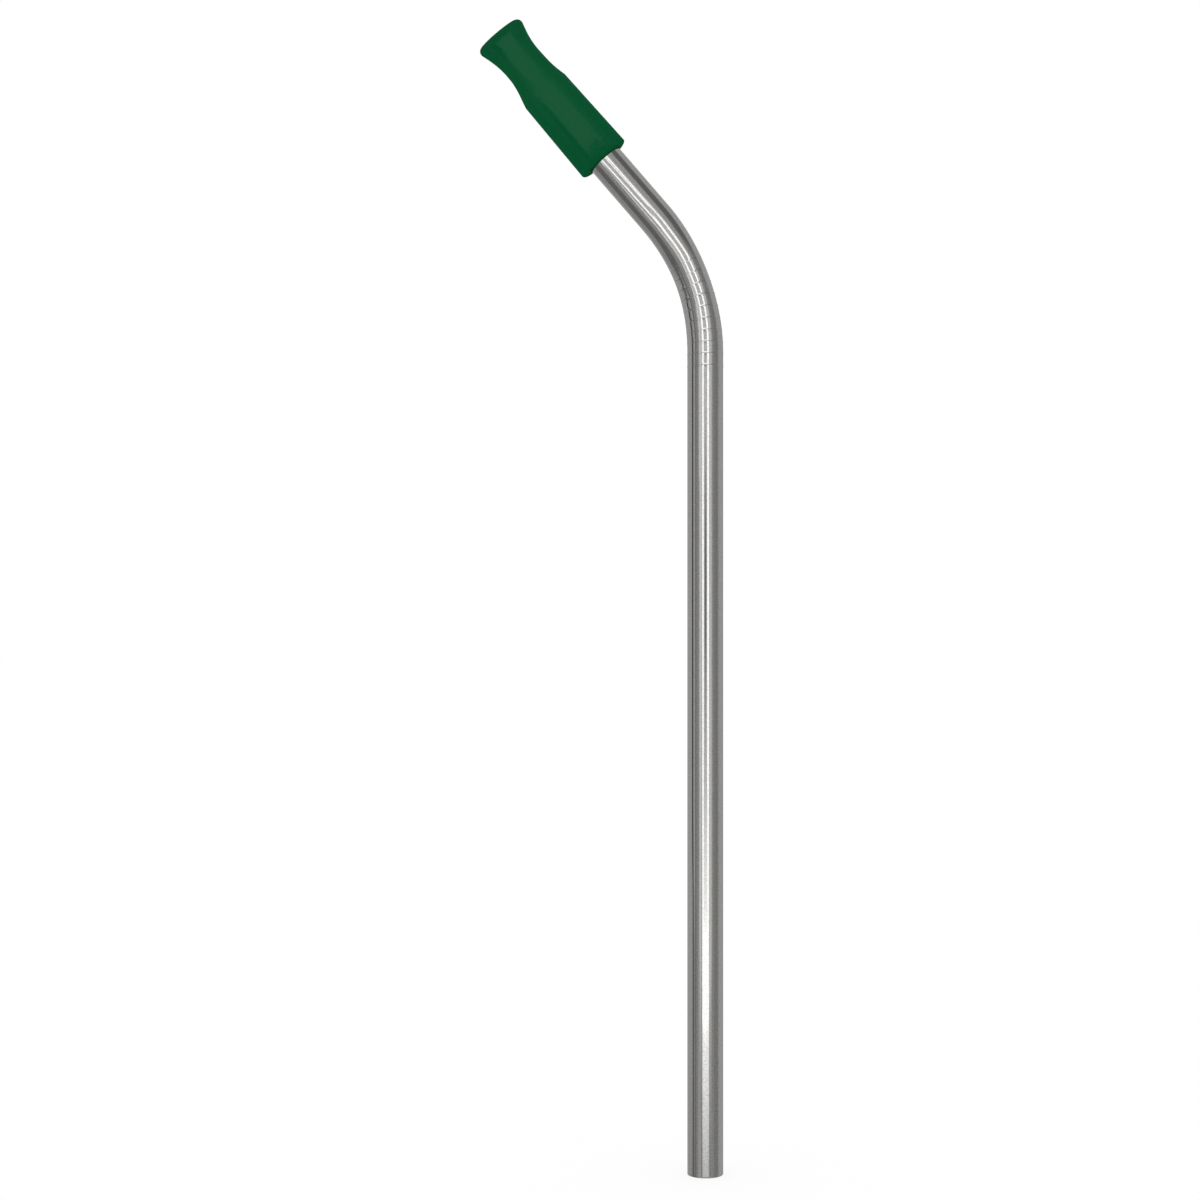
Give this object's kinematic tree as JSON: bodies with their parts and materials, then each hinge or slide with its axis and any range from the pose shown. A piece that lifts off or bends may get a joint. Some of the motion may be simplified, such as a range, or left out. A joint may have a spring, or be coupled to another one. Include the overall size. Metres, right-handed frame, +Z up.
{
  "type": "drinking straw",
  "caption": "Bent stainless-steel drinking straw, a round open tube with one bend and a soft green mouth tip that pulls off along the upper leg.",
  "frame": {"origin": "centre of the tube's lower end, in the plane of its rim, where the straw stands on the floor of a glass", "axes": "+Z up along the straight lower leg, which is the picture's upright; the bend lies in the XZ plane and leans the upper leg and the mouth tip towards -X; +Y is square to the bend's plane, away from the picture's camera"},
  "size_m": [0.0538, 0.012, 0.2558],
  "materials": {
    "steel": "satin",
    "silicone": "matte"
  },
  "bodies": {
    "tube": {"straw_tube": "steel"},
    "tip": {"silicone_tip": "silicone"}
  },
  "joints": [
    {"name": "tip_slide", "type": "slide", "parent": "tube", "child": "tip", "axis": [-0.6541, 0, 0.7564], "range_m": [0, 0.028]}
  ]
}
